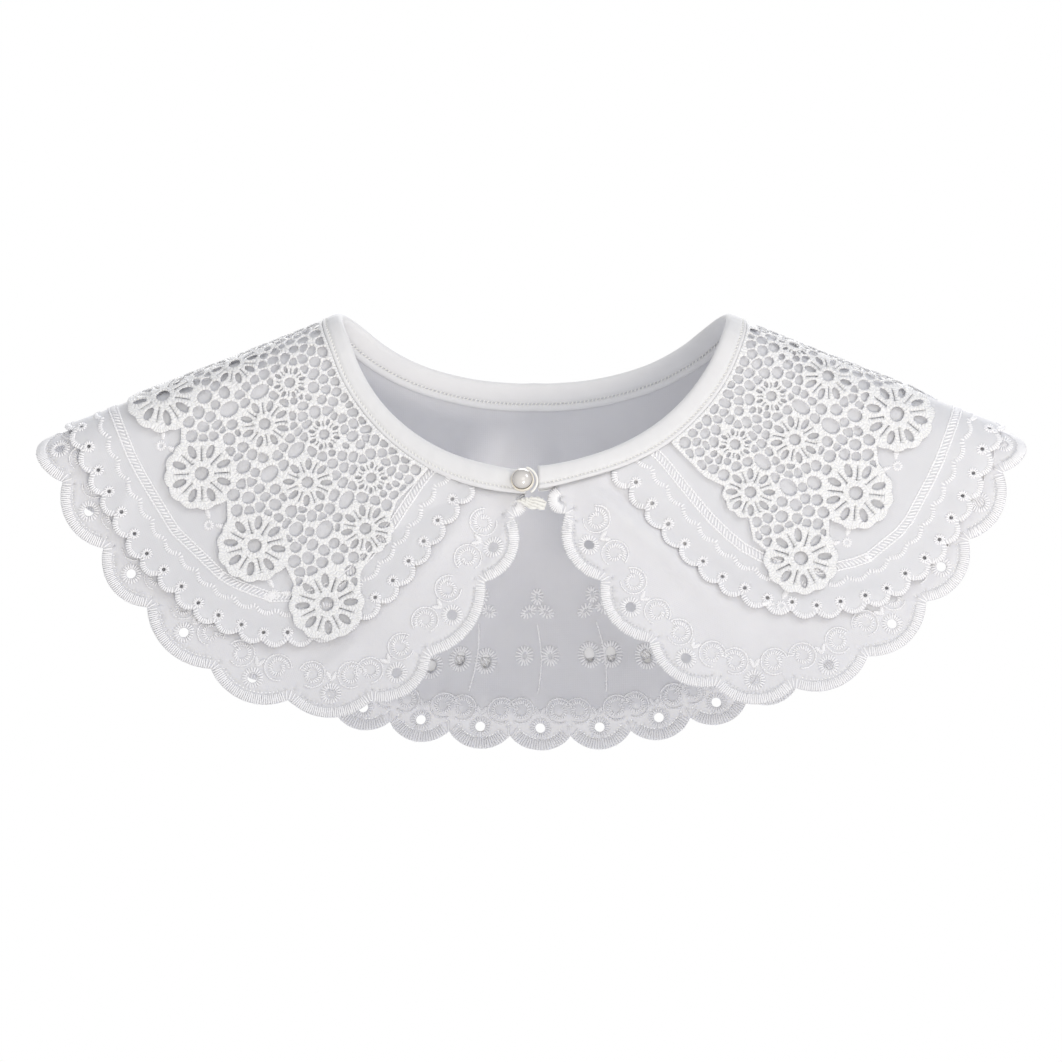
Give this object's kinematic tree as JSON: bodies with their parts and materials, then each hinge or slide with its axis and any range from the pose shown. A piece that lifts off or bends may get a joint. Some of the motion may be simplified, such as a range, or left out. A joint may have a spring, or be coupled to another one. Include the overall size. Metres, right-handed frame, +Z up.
{
  "type": "lace capelet",
  "caption": "Detachable collar-like capelet of scalloped cotton, sheer voile and guipure lace on a bound neckband, closed in front by a pearl button and thread loop.",
  "frame": {"origin": "middle of the neck opening, level with the side neck points", "axes": "+Z up the wearer's neck, the front faces -Y, +X towards the image's right along both shoulders"},
  "size_m": [0.4249, 0.1284, 0.1896],
  "materials": {
    "cotton": "matte plain-woven white cotton",
    "voile": "sheer white voile with satin-stitch rows",
    "guipure": "raised white embroidery thread",
    "binding": "matte white cotton binding",
    "pearl": "pearl lustre",
    "ivory": "satin ivory",
    "thread": "cream thread and folded cotton"
  },
  "bodies": {
    "root": {"base_front_left": "cotton", "base_front_right": "cotton", "base_back": "cotton", "middle_front_left": "voile", "middle_front_right": "voile", "middle_back": "voile", "lace_front_left": "guipure", "lace_front_right": "guipure", "lace_back": "guipure", "neckband": "binding", "pearl": "pearl", "pearl_bezel": "ivory", "thread_loop": "thread", "band_end_tab": "thread"}
  },
  "joints": []
}
